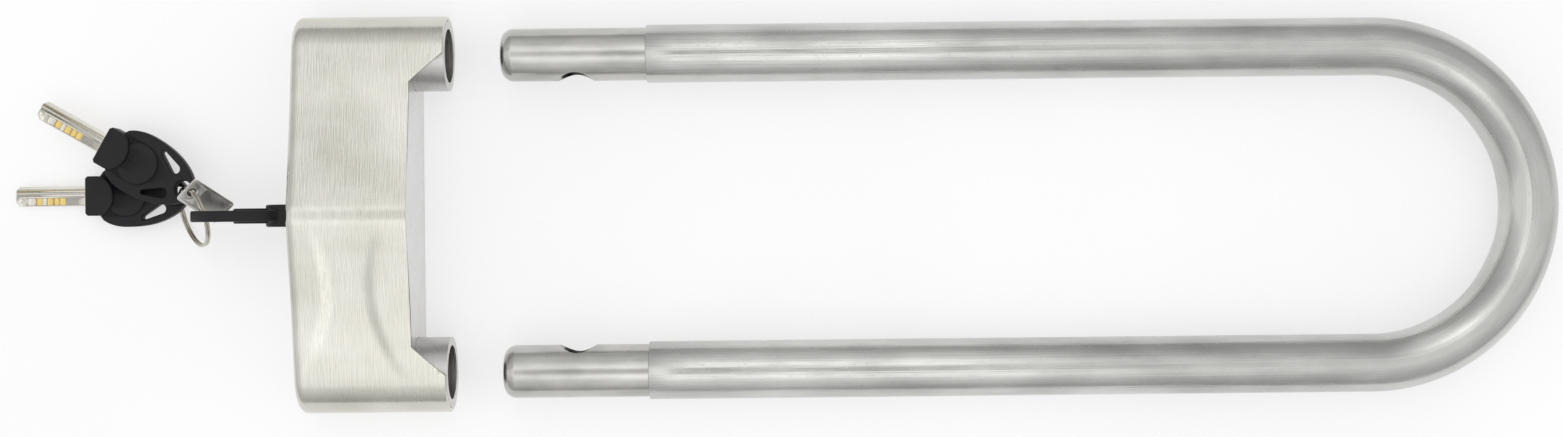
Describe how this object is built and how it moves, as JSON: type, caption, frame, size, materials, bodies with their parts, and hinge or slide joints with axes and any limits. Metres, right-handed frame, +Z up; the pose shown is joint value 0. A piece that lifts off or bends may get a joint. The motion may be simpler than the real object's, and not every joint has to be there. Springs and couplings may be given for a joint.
{
  "type": "u lock",
  "caption": "U-shaped steel shackle with drilled leg ends, pulled out of a stainless steel lock body; key in the cylinder, spare keys and a blank tag on a split ring.",
  "frame": {"origin": "centre of the lock body's flat underside", "axes": "+X along the shackle's legs from the body towards the bend, +Y across the legs, +Z up, out of the underside"},
  "size_m": [0.5893, 0.15, 0.041],
  "materials": {
    "brushed_steel": "brushed across the body",
    "plate_steel": "plain rolled sheet",
    "socket_steel": "turned",
    "housing_steel": "turned",
    "hard_steel": "hardened, dark",
    "bolt_steel": "ground",
    "leg_steel": "satin",
    "sleeve_steel": "satin, drawn tube",
    "cylinder_brass": "machined",
    "plug_brass": "machined",
    "key_nickel": "nickel plated, milled",
    "bow_plastic": "fine moulded texture",
    "ring_nickel": "nickel plated",
    "tag_steel": "stamped, blank"
  },
  "bodies": {
    "lock_body": {"shell": "brushed_steel", "rear_plate": "plate_steel", "front_plate": "plate_steel", "socket_left": "socket_steel", "socket_right": "socket_steel", "cylinder_housing": "housing_steel", "cylinder_barrel": "cylinder_brass", "barrel_pin": "hard_steel", "guard_pins": "hard_steel", "bolt_guide_left": "plate_steel", "bolt_guide_right": "plate_steel", "keeper_plate": "plate_steel", "keeper_spacers": "housing_steel", "keeper_screws": "hard_steel"},
    "plug": {"plug": "plug_brass", "wafers": "cylinder_brass", "plug_clip": "hard_steel", "cam_disc": "housing_steel", "cam_pins": "hard_steel", "cam_screw": "hard_steel"},
    "bolt_left": {"bolt_left": "bolt_steel"},
    "bolt_right": {"bolt_right": "bolt_steel"},
    "shackle": {"shackle_core": "leg_steel", "shackle_sleeve": "sleeve_steel", "leg_end_plugs": "leg_steel"},
    "key": {"key_blade": "key_nickel", "key_bow": "bow_plastic"},
    "ring": {"key_ring": "ring_nickel"},
    "lower_key": {"lower_key_blade": "key_nickel", "lower_key_bow": "bow_plastic"},
    "upper_key": {"upper_key_blade": "key_nickel", "upper_key_bow": "bow_plastic"},
    "tag": {"key_tag": "tag_steel"}
  },
  "joints": [
    {"name": "shackle_slide", "type": "slide", "parent": "lock_body", "child": "shackle", "axis": [1, 0, 0], "range_m": [-0.073, 0]},
    {"name": "plug_turn", "type": "hinge", "parent": "lock_body", "child": "plug", "pos_m": [0, 0, 0.0205], "axis": [1, 0, 0], "range_deg": [0, 91]},
    {"name": "bolt_left_slide", "type": "slide", "parent": "lock_body", "child": "bolt_left", "axis": [0, 1, 0], "range_m": [0, 0.008]},
    {"name": "bolt_right_slide", "type": "slide", "parent": "lock_body", "child": "bolt_right", "axis": [0, -1, 0], "range_m": [0, 0.0081]},
    {"name": "key_pull", "type": "slide", "parent": "plug", "child": "key", "axis": [-1, 0, 0], "range_m": [0, 0.032]},
    {"name": "ring_swing", "type": "hinge", "parent": "key", "child": "ring", "pos_m": [-0.06402, 0.00228, 0.02079], "axis": [-0.3567, 0.9342, 0], "range_deg": [-5, 20]},
    {"name": "lower_key_turn", "type": "hinge", "parent": "ring", "child": "lower_key", "pos_m": [-0.07681, 0.00838, 0.0071], "axis": [-0.0785, 0, 0.9969], "range_deg": [0, 25]},
    {"name": "upper_key_turn", "type": "hinge", "parent": "ring", "child": "upper_key", "pos_m": [-0.07281, 0.01043, 0.0136], "axis": [-0.0607, 0.0345, 0.9976], "range_deg": [-25, 0]},
    {"name": "tag_turn", "type": "hinge", "parent": "ring", "child": "tag", "pos_m": [-0.06867, 0.00919, 0.018], "axis": [0.3686, -0.5432, 0.7544], "range_deg": [-10, 10]}
  ],
  "couplings": [
    {"joint": "plug_turn", "follows": "bolt_left_slide", "rad_per_m": 196.35},
    {"joint": "bolt_right_slide", "follows": "bolt_left_slide", "ratio": 1}
  ]
}
